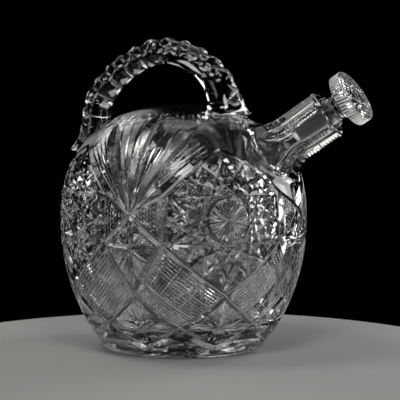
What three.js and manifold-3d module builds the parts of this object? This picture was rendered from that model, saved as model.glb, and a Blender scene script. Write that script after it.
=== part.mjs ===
// Rum jug of wheel-cut lead crystal: a globular body with a slanted panel-cut neck,
// an applied thumbprint-cut loop handle and a ground-in hobstar stopper.
// Millimetres and degrees. The origin is the centre of the base on the table,
// +Z is up and the neck leans towards +X.
import * as THREE from 'three';
import { mergeVertices } from 'three/addons/utils/BufferGeometryUtils.js';
import Module from 'manifold-3d';

// Body
const bellyRadius = 78;
const bellyHeight = 82;
const domeRise = 71;
const domeFullness = 2.3;
const skirtDrop = 106;
const skirtFullness = 2;
const footRound = 2.5;
const wall = 7;
const floorThickness = 13;

// Gap between pieces that touch
const seatGap = 0.3;

// Neck, measured along its own axis from the point where that axis meets the body's
const neckTilt = 34;
const neckAimRise = 2;
const neckLength = 40;
const ridgeRadius = 15.5;
const panelCount = 6;
const panelTurn = 40;
const panelDepth = 1.9;
const panelLength = 20;
const fluteDepth = 2.5;
const stepSlant = 0.4;
const flareRadius = 19;
const flareBite = 0.3;
const flareOverrun = 1.02;
const neckRoot = 4;
const lipRound = 2;
const mouthRadius = 8.25;
const mouthTaper = 0.05;
const seatRun = 4;
const seatOverrun = 1;
const throatRadius = 13;
const throatPinch = 1.2;
const bellSink = 16.5;
const bellSpread = 1;

// Stopper
const plugLength = 25;
const faceHeight = 21;
const headRadius = 17.5;
const rimThickness = 7.8;
const faceCrown = 1;
const rimNotches = 54;
const rimNotchDepth = 0.6;
const rimNotchWidth = 1.5;
const rimRound = 1.2;
const edgeRound = 0.7;
const shankHeight = 5;
const grooveWidth = 2.4;
const collarRadius = 8.8;
const grooveRadius = 6.8;
const faceMitreWidth = 3;
const faceMitreDepth = 0.9;

// Handle
const handleBackInset = 11;
const handleFrontReach = 31;
const loopFrontSpan = 43.5;
const loopBackSpan = 45;
const loopBackFullness = 1.5;
const loopLean = -15;
const loopRise = 34;
const loopSpringDrop = 2;
const barRadius = 8.2;
const backLegRadius = 9.8;
const frontLegRadius = 11.2;
const footSpread = 5;
const footSink = 4;
const backPrintPitch = 10;
const backPrintRadius = 8;
const backPrintDepth = 3;
const backPrintStretch = 2;
const backRowMargin = 15;
const flankPrintPitch = 12.8;
const flankPrintRadius = 11;
const flankPrintDepth = 2.6;
const flankPrintTurn = 66;
const flankRowMargin = 24;

// Cut pattern: heights are over the table, rises over the belly, drops under the dome's top
const patternRepeats = 4;
const fanRise = 8.7;
const shoulderRise = 20;
const crossingRise = -9.2;
const latticeHeight = 42;
const lowerCrossingHeight = 21;
const lowestCutHeight = 7.5;
const starTopDrop = 24;
const crossingTurn = 15;
const lowerCrossingTurn = 22.5;
const longMitreWidth = 5;
const mitreDepth = 1.6;
const wideMitreWidth = 8;
const starRise = 6;
const starRadius = 40;
const starPoints = 8;
const starStep = 3;
const starMitreWidth = 4.2;
const starMitreDepth = 1.3;
const bladeWidth = 8;
const bladeDepth = 1.7;
const bladeTopDrop = 4;
const sideBladeTurn = 36;
const sideBladeDrop = 10.5;
const handleFanShare = 0.45;
const rayWidth = 2.6;
const rayDepth = 1;
const raysBetweenBlades = 2;
const baseRays = 16;
const baseButtonRadius = 7;
const baseRayWidth = 5;
const baseRayDepth = 1.4;
const cutterClearance = 2.4;
const borerOverrun = 1;

// Fineness of the facets
const bodyFacets = 36;
const bodyRings = 7;
const hollowFacets = 24;
const hollowRings = 5;
const neckFacets = 18;
const mitreStep = 24;
const barFacets = 12;
const barStep = 9;
const dishFacets = 9;

const wasm = await Module();
wasm.setup();

const radians = THREE.MathUtils.degToRad;
const bellyCentre = new THREE.Vector3(0, 0, bellyHeight);
const domeTop = bellyHeight + domeRise;
const lip = bellyRadius + neckLength;
const neckAxis = new THREE.Vector3(Math.cos(radians(neckTilt)), 0, Math.sin(radians(neckTilt)));
const neckAcross = new THREE.Vector3(0, 1, 0);
const neckUp = new THREE.Vector3().crossVectors(neckAxis, neckAcross);
const neckFoot = new THREE.Vector3(0, 0, bellyHeight + neckAimRise);

// A closed geometry as a solid, with shared corners merged.
function toSolid(geometry) {
  const bare = geometry.clone();
  bare.deleteAttribute('normal');
  bare.deleteAttribute('uv');
  const merged = mergeVertices(bare, 1e-4);
  return new wasm.Manifold(new wasm.Mesh({
    numProp: 3,
    vertProperties: new Float32Array(merged.attributes.position.array),
    triVerts: new Uint32Array(merged.index.array),
  }));
}

function toGeometry(solid) {
  const mesh = solid.getMesh();
  const geometry = new THREE.BufferGeometry();
  geometry.setAttribute('position', new THREE.BufferAttribute(mesh.vertProperties, 3));
  geometry.setIndex(new THREE.BufferAttribute(mesh.triVerts, 1));
  geometry.computeVertexNormals();
  return geometry;
}

function signedVolume(points, faces) {
  let sum = 0;
  for (const [a, b, c] of faces) {
    sum += points[a].dot(new THREE.Vector3().crossVectors(points[b], points[c]));
  }
  return sum / 6;
}

// A closed skin over rings of as many points each, flat at both ends.
function loft(rings) {
  const count = rings[0].length;
  const points = rings.flat();
  const faces = [];
  for (let ring = 0; ring + 1 < rings.length; ring += 1) {
    for (let i = 0; i < count; i += 1) {
      const a = ring * count + i;
      const b = ring * count + (i + 1) % count;
      faces.push([a, b, b + count], [a, b + count, a + count]);
    }
  }
  const last = (rings.length - 1) * count;
  for (let i = 1; i + 1 < count; i += 1) {
    faces.push([0, i + 1, i], [last, last + i, last + i + 1]);
  }
  const turned = signedVolume(points, faces) < 0;
  const geometry = new THREE.BufferGeometry().setFromPoints(points);
  geometry.setIndex(faces.flatMap(([a, b, c]) => (turned ? [a, c, b] : [a, b, c])));
  return geometry;
}

// A lathe turned about +Z from its own axis.
function turn(profile, facets) {
  return new THREE.LatheGeometry(profile, facets).rotateX(Math.PI / 2);
}

// Moves what is made about +Z, from its foot up, onto the neck's axis.
function ontoNeck(geometry) {
  const frame = new THREE.Matrix4().makeBasis(neckUp.clone().negate(), neckAcross, neckAxis);
  return geometry.applyMatrix4(frame.setPosition(neckFoot));
}

// Distance from the belly's centre to the skin, along a direction with these parts.
function skinReach(radial, up, inset) {
  const height = (up > 0 ? domeRise : skirtDrop) - inset;
  const fullness = up > 0 ? domeFullness : skirtFullness;
  const sum = (radial / (bellyRadius - inset)) ** fullness + (Math.abs(up) / height) ** fullness;
  return sum ** (-1 / fullness);
}

function skinRadius(height, inset = 0) {
  const up = height - bellyHeight;
  const reach = (up > 0 ? domeRise : skirtDrop) - inset;
  const fullness = up > 0 ? domeFullness : skirtFullness;
  return (bellyRadius - inset) * (1 - (Math.abs(up) / reach) ** fullness) ** (1 / fullness);
}

function skinHeight(radius) {
  const share = 1 - (radius / bellyRadius) ** domeFullness;
  return bellyHeight + domeRise * share ** (1 / domeFullness);
}

// The skin's point straight out from the belly's centre through a given point.
function ontoSkin(point) {
  const way = point.clone().sub(bellyCentre).normalize();
  const reach = skinReach(Math.hypot(way.x, way.y), way.z, 0);
  return way.multiplyScalar(reach).add(bellyCentre);
}

function skinPoint(turnAngle, height) {
  const radius = skinRadius(height);
  const angle = radians(turnAngle);
  return new THREE.Vector3(radius * Math.cos(angle), radius * Math.sin(angle), height);
}

function skinNormal(point) {
  const up = point.z - bellyHeight;
  const radius = Math.hypot(point.x, point.y);
  const height = up > 0 ? domeRise : skirtDrop;
  const fullness = up > 0 ? domeFullness : skirtFullness;
  const radial = (radius / bellyRadius) ** (fullness - 1) / bellyRadius / Math.max(radius, 1e-6);
  const rise = Math.sign(up) * (Math.abs(up) / height) ** (fullness - 1) / height;
  return new THREE.Vector3(point.x * radial, point.y * radial, rise).normalize();
}

// Half outline of the body, or of its hollow when inset, from the axis below to the axis above.
function skinProfile(inset, bottom, round, steps) {
  const profile = [new THREE.Vector2(0, bottom)];
  const footRadius = skinRadius(bottom + round, inset) - round;
  for (let i = 0; i <= 3; i += 1) {
    const angle = (i / 3) * Math.PI / 2;
    profile.push(new THREE.Vector2(
      footRadius + round * Math.sin(angle),
      bottom + round * (1 - Math.cos(angle)),
    ));
  }
  const start = Math.asin((bellyHeight - bottom - round) / (skirtDrop - inset));
  for (let i = 1; i <= steps; i += 1) {
    const angle = start * (1 - i / steps);
    profile.push(new THREE.Vector2(
      (bellyRadius - inset) * Math.cos(angle),
      bellyHeight - (skirtDrop - inset) * Math.sin(angle),
    ));
  }
  for (let i = 1; i < steps; i += 1) {
    const angle = (i / steps) * Math.PI / 2;
    profile.push(new THREE.Vector2(
      (bellyRadius - inset) * Math.cos(angle) ** (2 / domeFullness),
      bellyHeight + (domeRise - inset) * Math.sin(angle) ** (2 / domeFullness),
    ));
  }
  profile.push(new THREE.Vector2(0, domeTop - inset));
  return profile;
}

// A wheel cut of V section: each sample has a point, an outward normal and a depth.
function grooveCutter(samples, slope) {
  const rings = samples.map(({ point, normal, depth }, i) => {
    const before = samples[Math.max(i - 1, 0)].point;
    const after = samples[Math.min(i + 1, samples.length - 1)].point;
    const along = after.clone().sub(before).normalize();
    const side = new THREE.Vector3().crossVectors(normal, along).normalize();
    const half = (depth + cutterClearance) * slope;
    const open = point.clone().addScaledVector(normal, cutterClearance);
    return [
      point.clone().addScaledVector(normal, -depth),
      open.clone().addScaledVector(side, half),
      open.clone().addScaledVector(side, -half),
    ];
  });
  return toSolid(loft(rings));
}

// A mitre over the skin through the given stops, which runs out at its ends when tapered.
function skinMitre(stops, width, depth, step, tapered) {
  const points = [ontoSkin(stops[0])];
  for (let leg = 1; leg < stops.length; leg += 1) {
    const count = Math.ceil(stops[leg].distanceTo(stops[leg - 1]) / step);
    for (let i = 1; i <= count; i += 1) {
      points.push(ontoSkin(stops[leg - 1].clone().lerp(stops[leg], i / count)));
    }
  }
  const samples = points.map((point, i) => {
    const share = i / (points.length - 1);
    const runOut = tapered ? 4 * share * (1 - share) : 1;
    return { point, normal: skinNormal(point), depth: depth * runOut };
  });
  return grooveCutter(samples, width / 2 / depth);
}

// Neck: hollow flutes sweep out of the body and meet flat panels at a step below the lip.
function neckPoint(along, radius, angle) {
  return neckFoot.clone()
    .addScaledVector(neckAxis, along)
    .addScaledVector(neckAcross, radius * Math.cos(angle))
    .addScaledVector(neckUp, radius * Math.sin(angle));
}

// How far inside the body's skin a point lies, along the line from the belly's centre.
function depthInSkin(point) {
  const way = point.clone().sub(bellyCentre);
  const distance = way.length();
  way.normalize();
  return skinReach(Math.hypot(way.x, way.y), way.z, 0) - distance;
}

// The flare's arc in the half plane at one angle round the neck: it starts on the neck's ridge
// line and just bites into the body's skin.
function flareArc(angle) {
  const arcPoint = (start, sweep) => neckPoint(
    start - flareRadius * Math.sin(sweep),
    ridgeRadius + flareRadius * (1 - Math.cos(sweep)),
    angle,
  );
  const deepest = (start) => {
    let best = { depth: -Infinity, sweep: 0 };
    for (let degree = 17; degree < 86; degree += 1) {
      const depth = depthInSkin(arcPoint(start, radians(degree)));
      if (depth > best.depth) {
        best = { depth, sweep: radians(degree) };
      }
    }
    return best;
  };
  let low = bellyRadius / 2;
  let high = bellyRadius * 2;
  for (let i = 0; i < 30; i += 1) {
    const middle = (low + high) / 2;
    if (deepest(middle).depth > flareBite) {
      low = middle;
    } else {
      high = middle;
    }
  }
  return { start: low, sweep: deepest(low).sweep, arcPoint };
}

function neckSolid() {
  const perPanel = 4;
  const around = panelCount * perPanel;
  const arcSteps = 5;
  const panelShape = (i) => Math.sin((i % perPanel) / perPanel * Math.PI);
  const step = lip - panelLength;
  const columns = Array.from({ length: around }, (_, i) => {
    const angle = (i / around) * 2 * Math.PI + radians(panelTurn);
    const flare = flareArc(angle);
    const hollow = fluteDepth * panelShape(i);
    const column = [neckPoint(flare.start - flareRadius - neckRoot, ridgeRadius, angle)];
    for (let k = arcSteps; k >= 0; k -= 1) {
      const sweep = (k / arcSteps) * flare.sweep * flareOverrun;
      const fade = 1 - (k / arcSteps) ** 2;
      const inward = neckPoint(0, -hollow * fade, angle).sub(neckFoot);
      column.push(flare.arcPoint(flare.start, sweep).add(inward));
    }
    const panel = ridgeRadius - panelDepth * panelShape(i);
    const rim = ridgeRadius - panelDepth;
    column.push(neckPoint(step - stepSlant, ridgeRadius - hollow, angle));
    column.push(neckPoint(step + stepSlant, panel, angle));
    column.push(neckPoint(lip - 2 * lipRound, panel, angle));
    column.push(neckPoint(lip - lipRound / 2, rim, angle));
    column.push(neckPoint(lip, rim - lipRound / 2, angle));
    return column;
  });
  const rings = columns[0].map((_, ring) => columns.map((column) => column[ring]));
  return toSolid(loft(rings));
}

// Bore: ground taper for the stopper, a throat below it, and a bell into the hollow.
function boreSolid() {
  const seatLength = plugLength + seatOverrun;
  const seatEnd = lip - seatLength;
  const seatEndRadius = mouthRadius - seatLength * mouthTaper;
  const inside = bellyRadius - wall;
  const profile = [
    [0, inside - bellSink],
    [throatRadius + bellSpread, inside - bellSink],
    [throatRadius, inside - 2 * bellSpread],
    [(throatRadius + seatEndRadius) / 2 - throatPinch, bellyRadius],
    [seatEndRadius, seatEnd - seatRun],
    [seatEndRadius, seatEnd],
    [mouthRadius, lip],
    [mouthRadius + borerOverrun, lip + borerOverrun],
    [0, lip + borerOverrun],
  ].map(([radius, along]) => new THREE.Vector2(radius, along));
  return toSolid(ontoNeck(turn(profile, neckFacets)));
}

// The pattern's crossings, each a turn from its fan's column and a height.
function longMitres(column, side) {
  const at = (turnAngle, height) => skinPoint(column + side * turnAngle, height);
  const halfRepeat = 180 / patternRepeats;
  const fan = at(0, bellyHeight + fanRise);
  const crossing = at(crossingTurn, bellyHeight + crossingRise);
  const shoulder = at(crossingTurn, bellyHeight + shoulderRise);
  const lattice = at(0, latticeHeight);
  const down = [
    fan,
    crossing,
    at(halfRepeat, latticeHeight),
    at(halfRepeat + lowerCrossingTurn, lowerCrossingHeight),
    at(2 * halfRepeat, lowestCutHeight),
  ];
  const up = [
    at(-halfRepeat, lowestCutHeight),
    at(-lowerCrossingTurn, lowerCrossingHeight),
    lattice,
    crossing,
  ];
  const chevron = [crossing, shoulder, at(halfRepeat, domeTop - starTopDrop)];
  return [
    skinMitre(down, longMitreWidth, mitreDepth, mitreStep, false),
    skinMitre(up, longMitreWidth, mitreDepth, mitreStep, false),
    skinMitre(chevron, wideMitreWidth, mitreDepth, mitreStep, false),
    skinMitre([fan, shoulder], longMitreWidth, mitreDepth, mitreStep, false),
  ];
}

// A star of straight mitres, each from one point to the point a few steps on.
function starMitres(centre, out, radius, mitre) {
  const across = new THREE.Vector3(-out.y, out.x, 0).normalize();
  const rise = new THREE.Vector3().crossVectors(out, across);
  const tip = (i) => {
    const angle = (i / starPoints) * 2 * Math.PI;
    return centre.clone()
      .addScaledVector(across, radius * Math.sin(angle))
      .addScaledVector(rise, radius * Math.cos(angle));
  };
  return Array.from({ length: starPoints }, (_, i) => mitre(tip(i), tip(i + starStep)));
}

function bodyStar(column) {
  const centre = skinPoint(column, bellyHeight + starRise);
  const out = centre.clone().sub(bellyCentre).normalize();
  return starMitres(centre, out, starRadius,
    (from, to) => skinMitre([from, to], starMitreWidth, starMitreDepth, mitreStep, false));
}

function faceStar() {
  const crown = neckPoint(lip + faceHeight - faceCrown / 2, 0, 0);
  return starMitres(crown, neckAxis, headRadius - 2 * rimRound, (from, to) => {
    const sample = (point) => ({ point, normal: neckAxis, depth: faceMitreDepth });
    return grooveCutter([sample(from), sample(to)], faceMitreWidth / 2 / faceMitreDepth);
  });
}

// A fan opens upwards from its apex: broad blades with finer rays between them.
function fanMitres(column, reachShare) {
  const apex = skinPoint(column, bellyHeight + fanRise);
  const tips = [
    skinPoint(column - sideBladeTurn, domeTop - sideBladeDrop),
    skinPoint(column, domeTop - bladeTopDrop),
    skinPoint(column + sideBladeTurn, domeTop - sideBladeDrop),
  ].map((tip) => ontoSkin(apex.clone().lerp(tip, reachShare)));
  const cuts = tips.map((tip) => skinMitre([apex, tip], bladeWidth, bladeDepth, mitreStep, true));
  for (let blade = 0; blade + 1 < tips.length; blade += 1) {
    for (let ray = 1; ray <= raysBetweenBlades; ray += 1) {
      const tip = tips[blade].clone().lerp(tips[blade + 1], ray / (raysBetweenBlades + 1));
      cuts.push(skinMitre([apex, tip], rayWidth, rayDepth, mitreStep, true));
    }
  }
  return cuts;
}

// The base has a star of rays round a flat button, and stands on the ring outside it.
function baseMitres() {
  const down = new THREE.Vector3(0, 0, -1);
  const outer = skinRadius(footRound) - 2 * footRound;
  return Array.from({ length: baseRays }, (_, i) => {
    const angle = (i / baseRays) * 2 * Math.PI;
    const samples = [0, 0.25, 0.75, 1].map((share) => {
      const radius = baseButtonRadius + share * (outer - baseButtonRadius);
      return {
        point: new THREE.Vector3(radius * Math.cos(angle), radius * Math.sin(angle), 0),
        normal: down,
        depth: baseRayDepth * 4 * share * (1 - share) * (radius / outer),
      };
    });
    return grooveCutter(samples, baseRayWidth / 2 / baseRayDepth);
  });
}

function bodySolid() {
  const blank = toSolid(turn(skinProfile(0, 0, footRound, bodyRings), bodyFacets));
  const hollow = toSolid(turn(skinProfile(wall, floorThickness, 2 * wall, hollowRings), hollowFacets));
  const cuts = baseMitres();
  const neckColumn = 0;
  const handleColumn = 180;
  for (let repeat = 0; repeat < patternRepeats; repeat += 1) {
    const column = (repeat * 360) / patternRepeats;
    cuts.push(...longMitres(column, 1), ...longMitres(column, -1));
    cuts.push(...bodyStar(column + 180 / patternRepeats));
    if (column !== neckColumn) {
      cuts.push(...fanMitres(column, column === handleColumn ? handleFanShare : 1));
    }
  }
  return blank.subtract(wasm.Manifold.union(cuts))
    .add(blank.intersect(neckSolid()))
    .subtract(hollow)
    .subtract(boreSolid());
}

// The body's outside, grown by the gap to what is stuck on it.
function seatSolid() {
  return toSolid(turn(skinProfile(-seatGap, -seatGap, footRound, bodyRings), bodyFacets));
}

// The neck is what stands out of the body's skin, so the skin below it stays smooth.
function neck() {
  return neckSolid().subtract(seatSolid()).subtract(boreSolid());
}

// Handle: a thick bar bent over the dome and stuck on the shoulder and beside the neck.
function handlePath() {
  const spring = domeTop - loopSpringDrop;
  const rise = loopRise + loopSpringDrop;
  const back = (degrees) => new THREE.Vector3(
    loopLean - loopBackSpan * Math.cos(radians(degrees)) ** (2 / loopBackFullness),
    0,
    spring + rise * Math.sin(radians(degrees)) ** (2 / loopBackFullness),
  );
  const front = (degrees) => new THREE.Vector3(
    loopLean + loopFrontSpan * Math.cos(radians(degrees)),
    0,
    spring + rise * Math.sin(radians(degrees)),
  );
  const backReach = bellyRadius - handleBackInset;
  const backFoot = new THREE.Vector3(-backReach, 0, skinHeight(backReach));
  const frontFoot = new THREE.Vector3(handleFrontReach, 0, skinHeight(handleFrontReach));
  const sunk = (foot) => foot.addScaledVector(skinNormal(foot), -footSink);
  return new THREE.CatmullRomCurve3([
    sunk(backFoot),
    back(8), back(30), back(58),
    front(90), front(62), front(35), front(10),
    sunk(frontFoot),
  ]);
}

function handleRadius(share) {
  const leg = share < 0.5 ? backLegRadius : frontLegRadius;
  const swell = Math.abs(2 * share - 1);
  const foot = Math.max(0, swell - 0.8) / 0.2;
  return barRadius + (leg - barRadius) * swell ** 2 + footSpread * foot ** 2;
}

function handleFrame(path, share) {
  const centre = path.getPointAt(share);
  const along = path.getTangentAt(share);
  const across = new THREE.Vector3(0, 1, 0);
  const out = new THREE.Vector3().crossVectors(along, across);
  return { centre, across, out };
}

function handleSolid() {
  const path = handlePath();
  const length = path.getLength();
  const steps = Math.round(length / barStep);
  const rings = Array.from({ length: steps + 1 }, (_, i) => {
    const { centre, across, out } = handleFrame(path, i / steps);
    const radius = handleRadius(i / steps);
    return Array.from({ length: barFacets }, (_, k) => {
      const angle = (k / barFacets) * 2 * Math.PI;
      return centre.clone()
        .addScaledVector(across, radius * Math.cos(angle))
        .addScaledVector(out, radius * Math.sin(angle));
    });
  });
  return toSolid(loft(rings));
}

// A row of dishes along the bar, turned from its back to a flank and stretched across it.
// The margin is the length of bar that stays smooth at each foot.
function printRow({ pitch, radius, depth, stretch, lean, margin }) {
  const path = handlePath();
  const length = path.getLength();
  const gaps = Math.floor((length - 2 * margin) / pitch);
  return Array.from({ length: gaps + 1 }, (_, i) => {
    const share = 0.5 + ((i - gaps / 2) * pitch) / length;
    const { centre, across, out } = handleFrame(path, share);
    const away = out.multiplyScalar(Math.cos(radians(lean)))
      .addScaledVector(across, Math.sin(radians(lean)));
    centre.addScaledVector(away, handleRadius(share) + radius - depth);
    const facing = new THREE.Quaternion().setFromUnitVectors(new THREE.Vector3(1, 0, 0), away);
    const dish = new THREE.SphereGeometry(radius, dishFacets, dishFacets - 2)
      .scale(1, stretch, 1)
      .applyQuaternion(facing)
      .translate(centre.x, centre.y, centre.z);
    return toSolid(dish);
  });
}

// Thumbprints: broad notches across the back of the bar and round dishes on each flank.
function thumbprints() {
  const back = {
    pitch: backPrintPitch,
    radius: backPrintRadius,
    depth: backPrintDepth,
    stretch: backPrintStretch,
    lean: 0,
    margin: backRowMargin,
  };
  const flank = {
    pitch: flankPrintPitch,
    radius: flankPrintRadius,
    depth: flankPrintDepth,
    stretch: 1,
    lean: flankPrintTurn,
    margin: flankRowMargin,
  };
  const otherFlank = { ...flank, lean: -flankPrintTurn };
  return wasm.Manifold.union([back, flank, otherFlank].flatMap(printRow));
}

function handle() {
  return handleSolid()
    .subtract(thumbprints())
    .subtract(seatSolid())
    .subtract(neckSolid());
}

// Stopper: a tapered plug, a groove and collar, and a notched disc with a star on its face.
function stopper() {
  const foot = lip - plugLength;
  const plugRadius = (along) => mouthRadius - seatGap - (lip - along) * mouthTaper;
  const rimHigh = lip + faceHeight - faceCrown;
  const rimLow = rimHigh - rimThickness;
  const flatRadius = headRadius - rimRound;
  const outline = [
    [0, foot],
    [plugRadius(foot) - edgeRound, foot],
    [plugRadius(foot), foot + edgeRound],
    [plugRadius(lip), lip],
    [plugRadius(lip), lip + shankHeight],
    [grooveRadius, lip + shankHeight + edgeRound],
    [grooveRadius, lip + shankHeight + grooveWidth],
    [collarRadius, lip + shankHeight + grooveWidth + edgeRound],
    [collarRadius, rimLow - 2 * edgeRound],
    [flatRadius, rimLow],
    [headRadius, rimLow + rimRound],
    [headRadius, rimHigh - rimRound],
    [flatRadius, rimHigh],
    [headRadius / 2, rimHigh + faceCrown * (1 - (headRadius / 2 / flatRadius) ** 2)],
    [0, rimHigh + faceCrown],
  ].map(([radius, along]) => new THREE.Vector2(radius, along));
  const notches = Array.from({ length: rimNotches }, (_, i) => {
    const angle = ((i + 0.5) / rimNotches) * 2 * Math.PI;
    const normal = neckPoint(0, 1, angle).sub(neckFoot);
    const sample = (along) => ({
      point: neckPoint(along, headRadius, angle),
      normal,
      depth: rimNotchDepth,
    });
    const samples = [sample(rimLow - rimRound), sample(rimHigh + rimRound)];
    return grooveCutter(samples, rimNotchWidth / 2 / rimNotchDepth);
  });
  return toSolid(ontoNeck(turn(outline, rimNotches / 2)))
    .subtract(wasm.Manifold.union([...notches, ...faceStar()]));
}

function glass(name, solid, colour) {
  const material = new THREE.MeshStandardMaterial({
    color: colour,
    roughness: 0.03,
    metalness: 0,
    transparent: true,
    opacity: 0.4,
  });
  const mesh = new THREE.Mesh(toGeometry(solid), material);
  mesh.name = name;
  return mesh;
}

const jug = new THREE.Group();
jug.add(glass('jug_body', bodySolid(), 0xe8ecef));
jug.add(glass('neck', neck(), 0xe8ecef));
jug.add(glass('handle', handle(), 0xe9edf0));
jug.add(glass('stopper', stopper(), 0xe6ebf0));

export default jug;
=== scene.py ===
import bpy
import math
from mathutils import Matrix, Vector


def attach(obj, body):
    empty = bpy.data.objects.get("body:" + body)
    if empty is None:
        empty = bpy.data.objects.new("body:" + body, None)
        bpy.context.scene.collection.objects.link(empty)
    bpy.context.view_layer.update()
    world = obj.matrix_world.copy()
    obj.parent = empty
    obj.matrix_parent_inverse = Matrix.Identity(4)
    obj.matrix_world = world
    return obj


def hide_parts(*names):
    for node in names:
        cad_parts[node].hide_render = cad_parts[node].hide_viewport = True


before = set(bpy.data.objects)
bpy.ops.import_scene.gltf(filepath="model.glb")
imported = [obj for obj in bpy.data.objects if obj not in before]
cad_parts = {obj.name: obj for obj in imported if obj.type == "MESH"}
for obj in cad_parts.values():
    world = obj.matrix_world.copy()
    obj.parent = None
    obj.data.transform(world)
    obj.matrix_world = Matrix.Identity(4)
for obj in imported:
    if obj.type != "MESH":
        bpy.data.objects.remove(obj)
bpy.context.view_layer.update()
scene = bpy.context.scene
mm = 0.001
tiny = 1e-6  # keeps a divisor off zero


# glass
polishSettings = {'smudgeDetail': 4.0, 'waveDetail': 2.0, 'waveScale': 0.3}
glassSettings = {'index': 1.545, 'bumpStrength': 0.15, 'bumpDistance': 0.0004}
clearTint = (0.985, 0.99, 0.99)


def makePolishGroup():
    # uneven polish: smudges vary the roughness, and longer waves the height
    group = bpy.data.node_groups.new('polishWear', 'ShaderNodeTree')
    for way, names in (('INPUT', ('Scale', 'Smear', 'Ripple')), ('OUTPUT', ('Roughness', 'Height'))):
        for name in names:
            group.interface.new_socket(name=name, in_out=way, socket_type='NodeSocketFloat')
    add, link = group.nodes.new, group.links.new
    start, end = add('NodeGroupInput'), add('NodeGroupOutput')
    place = add('ShaderNodeTexCoord')
    def noise(detail, scale):
        node = add('ShaderNodeTexNoise')
        node.inputs['Detail'].default_value = detail
        link(place.outputs['Object'], node.inputs['Vector'])
        link(scale, node.inputs['Scale'])
        return node.outputs['Fac']
    def multiplier(value):
        node = add('ShaderNodeMath')
        node.operation = 'MULTIPLY'
        link(value, node.inputs[0])
        return node
    smear = multiplier(noise(polishSettings['smudgeDetail'], start.outputs['Scale']))
    link(start.outputs['Smear'], smear.inputs[1])
    link(smear.outputs[0], end.inputs['Roughness'])
    wave = multiplier(start.outputs['Scale'])
    wave.inputs[1].default_value = polishSettings['waveScale']
    ripple = multiplier(noise(polishSettings['waveDetail'], wave.outputs[0]))
    link(start.outputs['Ripple'], ripple.inputs[1])
    link(ripple.outputs[0], end.inputs['Height'])
    return group


polishGroup = makePolishGroup()


def makeGlass(name, tint, smear, ripple, scale, clear=1.0):
    glass = bpy.data.materials.new(name)
    glass.use_nodes = True
    tree = glass.node_tree
    shader = tree.nodes['Principled BSDF']
    shader.inputs['Base Color'].default_value = (*tint, 1)
    shader.inputs['Transmission Weight'].default_value = clear
    shader.inputs['IOR'].default_value = glassSettings['index']
    wear = tree.nodes.new('ShaderNodeGroup')
    wear.node_tree = polishGroup
    wear.inputs['Scale'].default_value = scale
    wear.inputs['Smear'].default_value = smear
    wear.inputs['Ripple'].default_value = ripple
    bump = tree.nodes.new('ShaderNodeBump')
    bump.inputs['Strength'].default_value = glassSettings['bumpStrength']
    bump.inputs['Distance'].default_value = glassSettings['bumpDistance']
    tree.links.new(wear.outputs['Roughness'], shader.inputs['Roughness'])
    tree.links.new(wear.outputs['Height'], bump.inputs['Height'])
    tree.links.new(bump.outputs['Normal'], shader.inputs['Normal'])
    return glass


cutCrystal = makeGlass('cutCrystal', clearTint, smear=0.03, ripple=0.5, scale=60)
softCut = makeGlass('softCut', (0.98, 0.985, 0.985), smear=0.45, ripple=0.5, scale=300)
mattCut = makeGlass('mattCut', (0.96, 0.965, 0.965), smear=0.75, ripple=1.0, scale=2500, clear=0.45)
innerCrystal = makeGlass('innerCrystal', clearTint, smear=0.15, ripple=0.5, scale=40)
drawnCrystal = makeGlass('drawnCrystal', clearTint, smear=0.03, ripple=1.0, scale=40)
handleCrystal = makeGlass('handleCrystal', clearTint, smear=0.12, ripple=1.0, scale=40)
rimMatt = makeGlass('rimMatt', (0.99, 0.99, 0.98), smear=0.6, ripple=1.0, scale=2500, clear=0.2)
groundCrystal = makeGlass('groundCrystal', (0.93, 0.94, 0.94), smear=0.6, ripple=1.0, scale=2500)


# small helpers
weldGap = 0.002  # mm


def dropSelection():
    if bpy.context.object and bpy.context.object.mode != 'OBJECT':
        bpy.ops.object.mode_set(mode='OBJECT')
    bpy.ops.object.select_all(action='DESELECT')


def pick(piece):
    dropSelection()
    piece.select_set(True)
    bpy.context.view_layer.objects.active = piece


def editAll():
    bpy.ops.object.mode_set(mode='EDIT')
    bpy.ops.mesh.select_all(action='SELECT')


def dropMesh(piece):
    shape = piece.data
    bpy.data.objects.remove(piece)
    bpy.data.meshes.remove(shape)


def spunGlass(name, outline, steps, finish):
    # outline is (radius, height) in mm, from the axis below to the axis above
    # it starts as a plane that is merged to one point
    dropSelection()
    bpy.ops.mesh.primitive_plane_add(size=mm)
    piece = bpy.context.object
    piece.name = name
    editAll()
    bpy.ops.mesh.merge(type='CENTER')
    last = Vector((0, 0, 0))
    for index, (radius, height) in enumerate(outline):
        spot = Vector((radius, 0, height)) * mm
        if index == 0:
            bpy.ops.transform.translate(value=spot - last)
        else:
            bpy.ops.mesh.extrude_vertices_move(TRANSFORM_OT_translate={"value": spot - last})
        last = spot
    bpy.ops.mesh.select_all(action='SELECT')
    bpy.ops.mesh.spin(steps=steps, angle=2 * math.pi, center=(0, 0, 0), axis=(0, 0, 1))
    bpy.ops.mesh.select_all(action='SELECT')
    bpy.ops.mesh.remove_doubles(threshold=weldGap * mm)
    bpy.ops.mesh.normals_make_consistent(inside=False)
    bpy.ops.object.mode_set(mode='OBJECT')
    piece.data.materials.append(finish)
    return piece


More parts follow.
